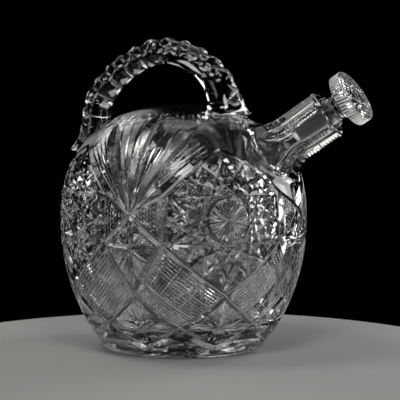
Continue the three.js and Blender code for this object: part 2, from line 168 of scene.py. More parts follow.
def drawnGlass(name, rings, finish):
    # a tube pulled through rings of as many points each, closed at both ends
    # the circle that it starts from can have any size, because each point is set on its ring
    dropSelection()
    count = len(rings[0])
    bpy.ops.mesh.primitive_circle_add(vertices=count, radius=mm, fill_type='NOTHING')
    piece = bpy.context.object
    piece.name = name
    editAll()
    for _ in rings[1:]:
        bpy.ops.mesh.extrude_region_move(TRANSFORM_OT_translate={"value": (0, 0, mm)})
    bpy.ops.object.mode_set(mode='OBJECT')
    for vertex in piece.data.vertices:
        vertex.co = rings[vertex.index // count][vertex.index % count] * mm
    editAll()
    bpy.ops.mesh.fill_holes(sides=0)
    bpy.ops.mesh.select_all(action='SELECT')
    bpy.ops.mesh.normals_make_consistent(inside=False)
    bpy.ops.object.mode_set(mode='OBJECT')
    piece.data.materials.append(finish)
    return piece


def wheel(name, paths, finish):
    # V cuts as closed wedges: each path is a list of (apex, one side, other side) in mm
    # the cut faces take the finish
    points = []
    faces = []
    for path in paths:
        first = len(points)
        a, b, c = path[0]
        d = path[1][0]
        turned = (b - a).cross(c - a).dot(d - a) < 0
        for spots in path:
            points.extend(spot * mm for spot in spots)
        new = [(first + 2, first + 1, first)]
        for ring in range(len(path) - 1):
            low = first + 3 * ring
            for i in range(3):
                j = (i + 1) % 3
                new.append((low + i, low + j, low + j + 3))
                new.append((low + i, low + j + 3, low + i + 3))
        end = first + 3 * (len(path) - 1)
        new.append((end, end + 1, end + 2))
        faces.extend(face[::-1] if turned else face for face in new)
    mesh = bpy.data.meshes.new(name)
    mesh.from_pydata(points, [], faces)
    mesh.materials.append(finish)
    return bpy.data.objects.new(name, mesh)


def combine(piece, others, operation):
    # all the others are taken away, or joined on, at once
    tray = bpy.data.collections.new(piece.name + 'Tray')
    scene.collection.children.link(tray)
    for other in others:
        for home in list(other.users_collection):
            home.objects.unlink(other)
        tray.objects.link(other)
    step = piece.modifiers.new('cut', 'BOOLEAN')
    step.operation = operation
    step.solver = 'MANIFOLD'
    step.operand_type = 'COLLECTION'
    step.material_mode = 'TRANSFER'
    step.collection = tray
    pick(piece)
    bpy.ops.object.modifier_apply(modifier=step.name)
    for other in others:
        dropMesh(other)
    bpy.data.collections.remove(tray)


def polish(piece, sharpFrom):
    pick(piece)
    bpy.ops.object.shade_smooth_by_angle(angle=math.radians(sharpFrom))


def report(name, piece):
    triangles = sum(len(face.vertices) - 2 for face in piece.data.polygons)
    print(name, 'finished:', triangles, 'triangles')


# the jug's skin, the same rounded form as its solid
bodyShape = {
    'bellyRadius': 78.0, 'bellyHeight': 82.0,
    'domeRise': 71.0, 'domeFullness': 2.3,
    'skirtDrop': 106.0, 'skirtFullness': 2.0,
    'footRound': 2.5, 'wall': 7.0, 'floorThickness': 13.0,
    'facets': 120, 'rings': 22, 'hollowFacets': 96, 'cornerSteps': 6, 'sharpFrom': 16,
}
bellyCentre = Vector((0, 0, bodyShape['bellyHeight']))
domeTop = bodyShape['bellyHeight'] + bodyShape['domeRise']


def skinParts(up, inset=0.0):
    if up > 0:
        return bodyShape['domeRise'] - inset, bodyShape['domeFullness']
    return bodyShape['skirtDrop'] - inset, bodyShape['skirtFullness']


def skinReach(way):
    rise, full = skinParts(way.z)
    radial = math.hypot(way.x, way.y) / bodyShape['bellyRadius']
    return (radial ** full + (abs(way.z) / rise) ** full) ** (-1 / full)


def skinRadius(height, inset=0.0):
    up = height - bodyShape['bellyHeight']
    rise, full = skinParts(up, inset)
    return (bodyShape['bellyRadius'] - inset) * (1 - (abs(up) / rise) ** full) ** (1 / full)


def skinHeight(radius):
    rise, full = skinParts(1)
    room = 1 - (radius / bodyShape['bellyRadius']) ** full
    return bodyShape['bellyHeight'] + rise * room ** (1 / full)


def ontoSkin(point):
    way = (point - bellyCentre).normalized()
    return bellyCentre + way * skinReach(way)


def skinPoint(turn, height):
    angle = math.radians(turn)
    radius = skinRadius(height)
    return Vector((radius * math.cos(angle), radius * math.sin(angle), height))


def skinNormal(point):
    up = point.z - bodyShape['bellyHeight']
    rise, full = skinParts(up)
    radius = max(math.hypot(point.x, point.y), tiny)
    radial = (radius / bodyShape['bellyRadius']) ** (full - 1) / bodyShape['bellyRadius'] / radius
    lift = math.copysign((abs(up) / rise) ** (full - 1) / rise, up)
    return Vector((point.x * radial, point.y * radial, lift)).normalized()


def skinOutline(inset, bottom, cornerRound):
    # the skin's profile, drawn in by the inset, from the axis below to the axis above
    steps, rings = bodyShape['cornerSteps'], bodyShape['rings']
    outline = [(0, bottom)]
    foot = skinRadius(bottom + cornerRound, inset) - cornerRound
    for i in range(steps + 1):
        angle = i / steps * math.pi / 2
        lift = cornerRound * (1 - math.cos(angle))
        outline.append((foot + cornerRound * math.sin(angle), bottom + lift))
    radius = bodyShape['bellyRadius'] - inset
    drop, _ = skinParts(-1, inset)
    start = math.asin((bodyShape['bellyHeight'] - bottom - cornerRound) / drop)
    for i in range(1, rings + 1):
        angle = start * (1 - i / rings)
        outline.append((radius * math.cos(angle), bodyShape['bellyHeight'] - drop * math.sin(angle)))
    rise, full = skinParts(1, inset)
    for i in range(1, rings):
        angle = i / rings * math.pi / 2
        outline.append((
            radius * math.cos(angle) ** (2 / full),
            bodyShape['bellyHeight'] + rise * math.sin(angle) ** (2 / full),
        ))
    outline.append((0, bodyShape['bellyHeight'] + rise))
    return outline


# wheel cuts on the skin, in mm; tip is the least share of a cut's depth
wheelSettings = {'step': 3.5, 'fewest': 2, 'clearance': 0.5, 'clearancePerWidth': 0.02, 'tip': 0.02}
bladeForm = {'scale': 4.66, 'widening': 1.4, 'narrowing': 0.9}


def even(share):
    return 1.0


def leaf(share):
    return max(4 * share * (1 - share), wheelSettings['tip'])


def blade(share):
    # narrow at the fan's apex, widest past the middle, sharp at the tip
    widened = bladeForm['scale'] * share ** bladeForm['widening']
    return max(widened * (1 - share) ** bladeForm['narrowing'], wheelSettings['tip'])


def walk(stops, step):
    points = [ontoSkin(stops[0])]
    for start, end in zip(stops, stops[1:]):
        count = max(math.ceil((end - start).length / step), wheelSettings['fewest'])
        points.extend(ontoSkin(start.lerp(end, i / count)) for i in range(1, count + 1))
    return points


def wedgePath(points, normals, width, depth, profile, clearance=None):
    # a cut's apex lies under each point, and its open side stands clear of the skin
    slope = width / 2 / depth
    clear = clearance or wheelSettings['clearance'] + wheelSettings['clearancePerWidth'] * width
    path = []
    for i, point in enumerate(points):
        before = points[max(i - 1, 0)]
        after = points[min(i + 1, len(points) - 1)]
        side = normals[i].cross(after - before).normalized()
        sunk = depth * profile(i / (len(points) - 1))
        half = (sunk + clear) * slope
        opening = point + normals[i] * clear
        path.append((point - normals[i] * sunk, opening + side * half, opening - side * half))
    return path


def mitre(stops, width, depth, profile=even, step=None, clearance=None):
    points = walk(stops, step or wheelSettings['step'])
    normals = [skinNormal(point) for point in points]
    return wedgePath(points, normals, width, depth, profile, clearance)


def between(a, b, share):
    return ontoSkin(a.lerp(b, share))


# the pattern: four repeats, each mirrored across its own column
# a place in it is (degrees from the column, height in mm)
repeat, neckColumn, handleColumn = 90, 0, 180
patternPlan = {
    'fan': (0, 90.7), 'shoulder': (15, 102), 'crossing': (15, 72.8), 'lattice': (0, 42),
    'wideLattice': (45, 41.5), 'lowCrossing': (22.5, 21), 'foot': (0, 7.5),
    'starTop': (45, 129), 'starCentre': (45, 88),
}
mitreCuts = {
    'width': 4.6, 'depth': 1.5, 'slim': 2.8, 'slimDepth': 1.0,
    'wide': 7.0, 'wideDepth': 2.2, 'line': 2.4, 'lineDeeper': 0.4,
}
hatchCuts = {
    'pitch': 2.0, 'width': 0.55, 'depth': 0.35, 'clearance': 0.2, 'bright': 1.5, 'brightDepth': 0.8,
    'step': 5.0, 'ends': (0.02, 0.98), 'fewest': 3, 'shortest': 3.0,
    'coarse': 1.5, 'coarseDepth': 0.8, 'coarseShares': (1 / 3, 2 / 3),
}
starCuts = {
    'radius': 40.0, 'points': 16, 'reach': 6, 'width': 5.4, 'depth': 1.7,
    'hob': 12.4, 'rays': 16, 'rayWidth': 2.0, 'rayDepth': 0.85,
    'leafFrom': 22.5, 'leafTo': 39.0, 'leafWidth': 4.4, 'leafDepth': 1.5, 'leafStep': 2.0,
    'crossTo': 30.6, 'crossWidth': 4.2, 'crossDepth': 1.4,
}
fanCuts = {
    'tips': ((-36, 142.5), (0, 149), (36, 142.5)), 'bladeWidth': 11.0, 'bladeDepth': 2.4,
    'rays': 3, 'sideRays': 5, 'rayWidth': 1.7, 'rayDepth': 0.7, 'rayReach': 0.92, 'sideReach': 0.96,
    'underHandle': 0.45,
}
smallStarCuts = {'lines': 6, 'width': 3.2, 'depth': 1.5, 'fine': 1.7, 'fineDepth': 0.9, 'reach': 0.9}
footCuts = {
    'height': 5.6, 'width': 8.0, 'depth': 1.0, 'shares': (0.08, 0.3, 0.5, 0.7, 0.92),
    'mitre': 6.4, 'mitreDepth': 1.6, 'mitreShares': (0.1, 1.0),
}


def corner(name, column, side):
    turn, height = patternPlan[name]
    return skinPoint(column + side * turn, height)


def longMitres(column, side):
    def at(share, name):
        # at the height of a named place, a share of the repeat from the column
        return skinPoint(column + side * share * repeat, patternPlan[name][1])
    width, depth = mitreCuts['width'], mitreCuts['depth']
    names = ('fan', 'crossing', 'shoulder', 'lattice', 'wideLattice', 'starTop')
    fan, crossing, shoulder, lattice, wideLattice, starTop = (
        corner(name, column, side) for name in names)
    narrow = [
        [fan, crossing, wideLattice, at(0.75, 'lowCrossing'), at(1, 'foot')],
        [at(-0.5, 'foot'), at(-0.25, 'lowCrossing'), lattice],
    ]
    slim = [[fan, shoulder], [shoulder, starTop]]
    cuts = [mitre(stops, width, depth) for stops in narrow]
    cuts += [mitre(stops, mitreCuts['slim'], mitreCuts['slimDepth']) for stops in slim]
    lines = [mitre(stops, mitreCuts['line'], depth + mitreCuts['lineDeeper']) for stops in narrow]
    band = mitre([lattice, crossing, shoulder], mitreCuts['wide'], mitreCuts['wideDepth'])
    return cuts, lines, band


def hatchLines(p, q, r, s, width, depth):
    # fine mitres from the line p-q to the line r-s
    middle = (q + s - p - r) / 2
    along = (r - p + s - q).normalized()
    spread = (middle - along * middle.dot(along)).length
    count = max(round(spread / hatchCuts['pitch']), hatchCuts['fewest'])
    lines = []
    for i in range(1, count):
        start, end = between(p, q, i / count), between(r, s, i / count)
        if (end - start).length > hatchCuts['shortest']:
            stops = [start.lerp(end, share) for share in hatchCuts['ends']]
            lines.append(mitre(stops, width, depth, even, hatchCuts['step'], hatchCuts['clearance']))
    return lines


def coarseLines(a, b, c, d):
    lines = []
    for p, q, r, s in ((a, b, d, c), (a, d, b, c)):
        for share in hatchCuts['coarseShares']:
            stops = [between(p, q, share), between(r, s, share)]
            lines.append(mitre(stops, hatchCuts['coarse'], hatchCuts['coarseDepth']))
    return lines


def hobStar(column):
    s = starCuts
    centre = corner('starCentre', column, 1)
    out = (centre - bellyCentre).normalized()
    across = Vector((-out.y, out.x, 0)).normalized()
    rise = out.cross(across)
    def spot(radius, share):
        angle = share * 2 * math.pi
        return centre + across * radius * math.sin(angle) + rise * radius * math.cos(angle)
    points = s['points']
    cuts = []
    rays = []
    for i in range(points):
        line = [spot(s['radius'], place / points) for place in (i, i + s['reach'])]
        cuts.append(mitre(line, s['width'], s['depth']))
        line = [spot(radius, i / points) for radius in (s['leafFrom'], s['leafTo'])]
        cuts.append(mitre(line, s['leafWidth'], s['leafDepth'], leaf, s['leafStep']))
        for side in (-1, 1):
            line = [spot(s['leafTo'], i / points), spot(s['crossTo'], (i + side) / points)]
            cuts.append(mitre(line, s['crossWidth'], s['crossDepth'], leaf, s['leafStep']))
    for i in range(s['rays']):
        share = i / s['rays'] / 2
        line = [spot(s['hob'], share), spot(s['hob'], share + 0.5)]
        rays.append(mitre(line, s['rayWidth'], s['rayDepth']))
    return cuts, rays


def smallStar(corners):
    # lines over the middle, broader from corner to corner and between the sides' middles
    middle = ontoSkin(sum(corners, Vector()) / len(corners))
    a, b, c, d = (middle.lerp(point, smallStarCuts['reach']) for point in corners)
    cuts = []
    count = smallStarCuts['lines']
    for p, q, r, s in ((a, b, c, d), (b, c, d, a)):
        for i in range(count):
            wide = i in (0, count // 2)
            line = [p.lerp(q, i / count), r.lerp(s, i / count)]
            width = smallStarCuts['width'] if wide else smallStarCuts['fine']
            depth = smallStarCuts['depth'] if wide else smallStarCuts['fineDepth']
            cuts.append(mitre(line, width, depth, leaf))
    return cuts


def fanPaths(column, reach):
    apex = corner('fan', column, 1)
    tips = [between(apex, skinPoint(column + turn, height), reach) for turn, height in fanCuts['tips']]
    blades = [mitre([apex, tip], fanCuts['bladeWidth'], fanCuts['bladeDepth'], blade) for tip in tips]
    rays = []
    sideReach = fanCuts['sideReach'] * reach
    sides = [between(apex, corner('starTop', column, side), sideReach) for side in (-1, 1)]
    few, many = fanCuts['rays'], fanCuts['sideRays']
    gaps = (
        (sides[0], tips[0], many), (tips[0], tips[1], few),
        (tips[1], tips[2], few), (tips[2], sides[1], many),
    )
    for left, right, count in gaps:
        for ray in range(1, count + 1):
            tip = between(apex, left.lerp(right, ray / (count + 1)), fanCuts['rayReach'])
            rays.append(mitre([apex, tip], fanCuts['rayWidth'], fanCuts['rayDepth'], blade))
    return blades, rays


def bodyCuts():
    tools = []
    def add(name, paths, finish=cutCrystal):
        tools.append(wheel(name, paths, finish))
    def addEach(name, paths, finish=cutCrystal):
        for path in paths:
            add(name, [path], finish)
    bright = hatchCuts['bright'], hatchCuts['brightDepth']
    fine = hatchCuts['width'], hatchCuts['depth']
    crossingHeight, footHeight = patternPlan['lowCrossing'][1], patternPlan['foot'][1]
    for column in range(0, 360, repeat):
        for side in (-1, 1):
            cuts, lines, band = longMitres(column, side)
            add('bandMitre', [band], softCut)
            addEach('longMitre', cuts)
            addEach('mitreLine', lines, mattCut)
            names = ('crossing', 'lattice', 'lowCrossing', 'wideLattice')
            a, b, c, d = (corner(name, column, side) for name in names)
            addEach('coarseHatch', coarseLines(a, b, c, d), mattCut)
            fan, shoulder = corner('fan', column, side), corner('shoulder', column, side)
            add('brightHatch', hatchLines(a, b, d, c, *bright))
            add('hatch', hatchLines(a, d, b, c, *fine), mattCut)
            add('brightHatch', hatchLines(fan, shoulder, fan, a, *bright))
            add('hatch', hatchLines(shoulder, fan, shoulder, a, *fine), mattCut)
        diamond = [corner('fan', column, 1), corner('crossing', column, 1)]
        diamond += [corner('lattice', column, 1), corner('crossing', column, -1)]
        addEach('smallStar', smallStar(diamond))
        for turn, top in ((0, 'lattice'), (repeat / 2, 'wideLattice')):
            middle = column + turn
            low = skinPoint(middle, footHeight)
            addEach('smallStar', smallStar([
                skinPoint(middle, patternPlan[top][1]), skinPoint(middle + repeat / 4, crossingHeight),
                low, skinPoint(middle - repeat / 4, crossingHeight),
            ]))
            for side in (-1, 1):
                high = skinPoint(middle + side * repeat / 4, crossingHeight)
                line = [between(high, low, share) for share in footCuts['mitreShares']]
                add('footMitre', [mitre(line, footCuts['mitre'], footCuts['mitreDepth'])], softCut)
            places = [middle + repeat / 2 * share for share in footCuts['shares']]
            rim = [skinPoint(place, footCuts['height']) for place in places]
            add('footLeaf', [mitre(rim, footCuts['width'], footCuts['depth'], leaf)])
        facets, rays = hobStar(column)
        addEach('hobStar', facets)
        addEach('hobRay', rays)
        if column != neckColumn:
            blades, rays = fanPaths(column, fanCuts['underHandle'] if column == handleColumn else 1.0)
            addEach('fanBlade', blades, softCut)
            addEach('fanRay', rays)
    return tools


baseCuts = {'rays': 24, 'button': 7.0, 'width': 4.6, 'depth': 1.4, 'steps': 10}


def baseStar():
    button, steps = baseCuts['button'], baseCuts['steps']
    normals = [Vector((0, 0, -1))] * (steps + 1)
    outer = skinRadius(bodyShape['footRound']) - 2 * bodyShape['footRound']
    tools = []
    for i in range(baseCuts['rays']):
        angle = i / baseCuts['rays'] * 2 * math.pi
        ray = Vector((math.cos(angle), math.sin(angle), 0))
        points = [ray * (button + (outer - button) * k / steps) for k in range(steps + 1)]
        path = wedgePath(points, normals, baseCuts['width'], baseCuts['depth'], leaf)
        tools.append(wheel('baseRay', [path], cutCrystal))
    return tools


# neck: lengths in mm along its axis, which starts at aimHeight on the jug's own axis
neckShape = {
    'tilt': 34.0, 'aimHeight': 84.0, 'reach': 118.0, 'ridgeRadius': 15.5,
    'panels': 6, 'panelTurn': 40.0, 'panelDepth': 1.9, 'panelLength': 20.0,
    'panelRings': (8.0, 4.0), 'panelStep': 0.35,
    'fluteDepth': 2.5, 'fluteRings': (0.35, 0.7),
    'flare': 19.0, 'bite': 0.3, 'root': 4.0, 'overrun': 1.02,
    'flareStarts': (39.0, 156.0), 'halvings': 18, 'sweeps': (17, 86),
    'lipRound': 2.0, 'lipInset': 1.2, 'lipSteps': 5,
    'perPanel': 16, 'arcSteps': 16,
    'notchPitch': 2.2, 'notchWidth': 2.2, 'notchDepth': 1.35,
    'notchReach': 3.0, 'notchFrom': 5.0, 'notchPast': 6.0,
}
boreShape = {
    'mouth': 8.25, 'taper': 0.05, 'seat': 26.0, 'belowSeat': 4.0,
    'bell': 14.0, 'bellDepth': 16.5, 'throat': 13.0, 'throatDepth': 2.0, 'waist': 1.2,
    'overrun': 1.0, 'facets': 96,
}
tilt = math.radians(neckShape['tilt'])
neckAxis = Vector((math.cos(tilt), 0, math.sin(tilt)))
neckAcross = Vector((0, 1, 0))
neckUp = neckAxis.cross(neckAcross)
neckFoot = Vector((0, 0, neckShape['aimHeight']))
lip = neckShape['reach']


def neckPoint(along, radius, angle):
    out = neckAcross * math.cos(angle) + neckUp * math.sin(angle)
    return neckFoot + neckAxis * along + out * radius


def ontoNeck(piece):
    # what is turned about +Z from the origin moves onto the neck's axis
    for vertex in piece.data.vertices:
        x, y, z = vertex.co / mm
        vertex.co = (neckFoot - neckUp * x + neckAcross * y + neckAxis * z) * mm


def depthInSkin(point):
    way = point - bellyCentre
    return skinReach(way.normalized()) - way.length


def flareArc(angle):
    # the fillet between the neck's line and the body's skin, in the half plane at this angle:
    # where it leaves the neck's line, how far it sweeps to the skin, and what gives its points
    flare = neckShape['flare']
    def arcPoint(start, sweep):
        return neckPoint(
            start - flare * math.sin(sweep),
            neckShape['ridgeRadius'] + flare * (1 - math.cos(sweep)), angle)
    def deepest(start):
        sweeps = [math.radians(degrees) for degrees in range(*neckShape['sweeps'])]
        return max((depthInSkin(arcPoint(start, sweep)), sweep) for sweep in sweeps)
    low, high = neckShape['flareStarts']
    for _ in range(neckShape['halvings']):
        middle = (low + high) / 2
        if deepest(middle)[0] > neckShape['bite']:
            low = middle
        else:
            high = middle
    return low, deepest(low)[1], arcPoint


def makeNeck():
    s = neckShape
    around = s['panels'] * s['perPanel']
    step = lip - s['panelLength']
    ridge = s['ridgeRadius']
    rim = ridge - s['panelDepth']
    columns = []
    for i in range(around):
        angle = i / around * 2 * math.pi + math.radians(s['panelTurn'])
        shape = math.sin((i % s['perPanel']) / s['perPanel'] * math.pi)
        start, sweepEnd, arcPoint = flareArc(angle)
        hollow = s['fluteDepth'] * shape
        panel = ridge - s['panelDepth'] * shape
        inward = neckPoint(0, -1, angle) - neckFoot
        column = [neckPoint(start - s['flare'] - s['root'], ridge, angle)]
        for k in range(s['arcSteps'], -1, -1):
            share = k / s['arcSteps']
            sweep = share * sweepEnd * s['overrun']
            column.append(arcPoint(start, sweep) + inward * hollow * (1 - share ** 2))
        flute = [start + (step - start) * share for share in s['fluteRings']] + [step - s['panelStep']]
        column += [neckPoint(along, ridge - hollow, angle) for along in flute]
        flat = [step + s['panelStep']] + [lip - below for below in s['panelRings']]
        column += [neckPoint(along, panel, angle) for along in flat]
        for k in range(s['lipSteps'] + 1):
            bend = k / s['lipSteps'] * math.pi / 2
            blend = math.sin(bend)
            inset = s['lipInset'] * (1 - math.cos(bend))
            column.append(neckPoint(
                lip - s['lipRound'] * (1 - blend), panel + (rim - panel) * blend - inset, angle))
        columns.append(column)
    rings = [[column[k] for column in columns] for k in range(len(columns[0]))]
    neck = drawnGlass('neckGather', rings, drawnCrystal)
    notches = []
    first = lip - s['notchFrom']
    for i in range(s['panels']):
        angle = i / s['panels'] * 2 * math.pi + math.radians(s['panelTurn'])
        root = flareArc(angle)[0]
        normal = (neckPoint(0, 1, angle) - neckFoot).normalized()
        tangent = neckAxis.cross(normal)
        count = int((first - root + s['notchPast']) / s['notchPitch'])
        for k in range(count):
            centre = neckPoint(first - k * s['notchPitch'], ridge, angle)
            points = [centre + tangent * reach for reach in (-s['notchReach'], s['notchReach'])]
            path = wedgePath(points, [normal] * 2, s['notchWidth'], s['notchDepth'], even)
            notches.append(wheel('ridgeNotch', [path], cutCrystal))
    combine(neck, notches, 'DIFFERENCE')
    return neck


def makeBore():
    s = boreShape
    seatEnd = lip - s['seat']
    seatRadius = s['mouth'] - s['seat'] * s['taper']
    inside = bodyShape['bellyRadius'] - bodyShape['wall']
    bellEnd = inside - s['bellDepth']
    outline = [
        (0, bellEnd), (s['bell'], bellEnd), (s['throat'], inside - s['throatDepth']),
        ((s['throat'] + seatRadius) / 2 - s['waist'], bodyShape['bellyRadius']),
        (seatRadius, seatEnd - s['belowSeat']), (seatRadius, seatEnd), (s['mouth'], lip),
        (s['mouth'] + s['overrun'], lip + s['overrun']), (0, lip + s['overrun']),
    ]
    bore = spunGlass('bore', outline, s['facets'], cutCrystal)
    ontoNeck(bore)
    return bore


def makeBody():
    outline = skinOutline(0, 0, bodyShape['footRound'])
    body = spunGlass('jugGlass', outline, bodyShape['facets'], cutCrystal)
    combine(body, bodyCuts() + baseStar(), 'DIFFERENCE')
    print('body cut:', len(body.data.polygons), 'faces')
    combine(body, [makeNeck()], 'UNION')
    outline = skinOutline(bodyShape['wall'], bodyShape['floorThickness'], 2 * bodyShape['wall'])
    hollow = spunGlass('hollow', outline, bodyShape['hollowFacets'], innerCrystal)
    combine(body, [hollow, makeBore()], 'DIFFERENCE')
    polish(body, bodyShape['sharpFrom'])
    report('body', body)
    return body


# handle: its line runs through stops, in degrees, on a leaner arc behind and a round one in front
handleShape = {
    'backReach': 66.95, 'frontReach': 31.0, 'frontSpan': 43.5, 'backSpan': 45.0, 'backFullness': 1.5,
    'lean': -15.0, 'rise': 33.7, 'springDrop': 2.0,
    'backStops': (8, 30, 58), 'frontStops': (90, 62, 35, 10), 'fineness': 40,
    'bar': 8.2, 'backLeg': 9.8, 'frontLeg': 11.2,
    'footSpread': 5.0, 'footFrom': 0.8, 'footRun': 0.2, 'footSink': 4.0,
    'around': 48, 'step': 2.5, 'seatGap': 0.3, 'seatFacets': 128, 'sharpFrom': 24,
}
printRows = (
    {'pitch': 10.0, 'radius': 8.0, 'depth': 3.0, 'stretch': 2.0, 'lean': 0.0, 'margin': 15.0},
    {'pitch': 12.8, 'radius': 11.0, 'depth': 2.6, 'stretch': 1.0, 'lean': 66.0, 'margin': 24.0},
    {'pitch': 12.8, 'radius': 11.0, 'depth': 2.6, 'stretch': 1.0, 'lean': -66.0, 'margin': 24.0},
)
printTool = {'segments': 64, 'rings': 32}


def handlePath():
    shape = handleShape
    spring = domeTop - shape['springDrop']
    rise = shape['rise'] + shape['springDrop']
    def back(degrees):
        angle = math.radians(degrees)
        power = 2 / shape['backFullness']
        return Vector((
            shape['lean'] - shape['backSpan'] * math.cos(angle) ** power, 0,
            spring + rise * math.sin(angle) ** power))
    def front(degrees):
        angle = math.radians(degrees)
        return Vector((
            shape['lean'] + shape['frontSpan'] * math.cos(angle), 0, spring + rise * math.sin(angle)))
    def sunkFoot(x):
        foot = Vector((x, 0, skinHeight(abs(x))))
        return foot - skinNormal(foot) * shape['footSink']
    stops = [sunkFoot(-shape['backReach'])] + [back(degrees) for degrees in shape['backStops']]
    stops += [front(degrees) for degrees in shape['frontStops']] + [sunkFoot(shape['frontReach'])]
    stops = [2 * stops[0] - stops[1]] + stops + [2 * stops[-1] - stops[-2]]
    # a centripetal spline through the stops
    path = []
    for p, q, r, s in zip(stops, stops[1:], stops[2:], stops[3:]):
        gaps = [max((b - a).length ** 0.5, tiny) for a, b in ((p, q), (q, r), (r, s))]
        leave = (q - p) / gaps[0] - (r - p) / (gaps[0] + gaps[1]) + (r - q) / gaps[1]
        arrive = (r - q) / gaps[1] - (s - q) / (gaps[1] + gaps[2]) + (s - r) / gaps[2]
        leave, arrive = leave * gaps[1], arrive * gaps[1]
        for k in range(shape['fineness']):
            t = k / shape['fineness']
            path.append(
                q * (2 * t ** 3 - 3 * t ** 2 + 1) + leave * (t ** 3 - 2 * t ** 2 + t)
                + r * (3 * t ** 2 - 2 * t ** 3) + arrive * (t ** 3 - t ** 2))
    path.append(stops[-2])
    return path


handleLine = handlePath()
handleRun = [0.0]
for a, b in zip(handleLine, handleLine[1:]):
    handleRun.append(handleRun[-1] + (b - a).length)
handleLength = handleRun[-1]


def handleSpot(share):
    # centre, direction across and direction away from the loop's inside, at a share of the bar
    target = min(max(share, 0.0), 1.0) * handleLength
    i = 0
    while i < len(handleRun) - 2 and handleRun[i + 1] < target:
        i += 1
    part = (target - handleRun[i]) / (handleRun[i + 1] - handleRun[i])
    centre = handleLine[i].lerp(handleLine[i + 1], part)
    before, after = handleLine[max(i - 1, 0)], handleLine[min(i + 2, len(handleLine) - 1)]
    across = Vector((0, 1, 0))
    return centre, across, (after - before).normalized().cross(across)


def handleRadius(share):
    s = handleShape
    leg = s['backLeg'] if share < 0.5 else s['frontLeg']
    swell = abs(2 * share - 1)
    foot = max(0.0, swell - s['footFrom']) / s['footRun']
    return s['bar'] + (leg - s['bar']) * swell ** 2 + s['footSpread'] * foot ** 2


def makeHandle():
    s = handleShape
    steps = round(handleLength / s['step'])
    angles = [k / s['around'] * 2 * math.pi for k in range(s['around'])]
    rings = []
    for i in range(steps + 1):
        centre, across, out = handleSpot(i / steps)
        radius = handleRadius(i / steps)
        rings.append([
            centre + (across * math.cos(angle) + out * math.sin(angle)) * radius for angle in angles])
    handle = drawnGlass('handleGlass', rings, handleCrystal)
    dropSelection()
    bpy.ops.mesh.primitive_uv_sphere_add(
        segments=printTool['segments'], ring_count=printTool['rings'], radius=mm)
    first = bpy.context.object
    tools = []
    for row in printRows:
        gaps = int((handleLength - 2 * row['margin']) / row['pitch'])
        lean = math.radians(row['lean'])
        for i in range(gaps + 1):
            share = 0.5 + (i - gaps / 2) * row['pitch'] / handleLength
            centre, across, out = handleSpot(share)
            away = handleRadius(share) + row['radius'] - row['depth']
            spot = centre + (out * math.cos(lean) + across * math.sin(lean)) * away
            tool = bpy.data.objects.new('thumbprint', first.data.copy())
            tool.data.materials.append(handleCrystal)
            for vertex in tool.data.vertices:
                x, y, z = vertex.co * row['radius']
                vertex.co = Vector((x, y * row['stretch'], z)) + spot * mm
            tools.append(tool)
    dropMesh(first)
    outline = skinOutline(-s['seatGap'], -s['seatGap'], bodyShape['footRound'])
    tools.append(spunGlass('seat', outline, s['seatFacets'], drawnCrystal))
    tools.append(makeNeck())
    combine(handle, tools, 'DIFFERENCE')
    polish(handle, s['sharpFrom'])
    report('handle', handle)
    return handle


# stopper: plug, shank, groove, collar and head, from the foot up
stopperShape = {
    'plug': 25.0, 'gap': 0.3, 'groundBelow': 1.0, 'edge': 0.7, 'soft': 0.2,
    'shank': 5.0, 'shankInset': 0.1, 'groove': 2.4, 'grooveRadius': 6.8, 'grooveRings': (0.5, 0.9),
    'collar': 8.8, 'collarSoft': 0.3, 'collarSwell': 0.6,
    'face': 21.0, 'head': 17.1, 'rim': 7.8, 'rimRound': 1.2, 'bends': (0.5, 1.0),
    'ring': 1.8, 'ringDepth': 0.8, 'ringEdge': 0.3, 'crown': 1.0, 'crownRings': 5,
    'facets': 160, 'sharpFrom': 16,
}
stopperCuts = {
    'notches': 52, 'notchWidth': 1.35, 'notchDepth': 0.9, 'notchLean': 0.05, 'notchPast': 1.0,
    'chords': 16, 'chordReach': 6, 'chordWidth': 1.5, 'chordDepth': 0.55, 'chordLift': 0.85,
    'leafShares': (0.62, 0.8, 0.98), 'leafWidth': 2.0, 'leafDepth': 0.5,
    'hob': 0.34, 'hobLines': 4, 'hobWidth': 1.2, 'hobDepth': 0.45,
}


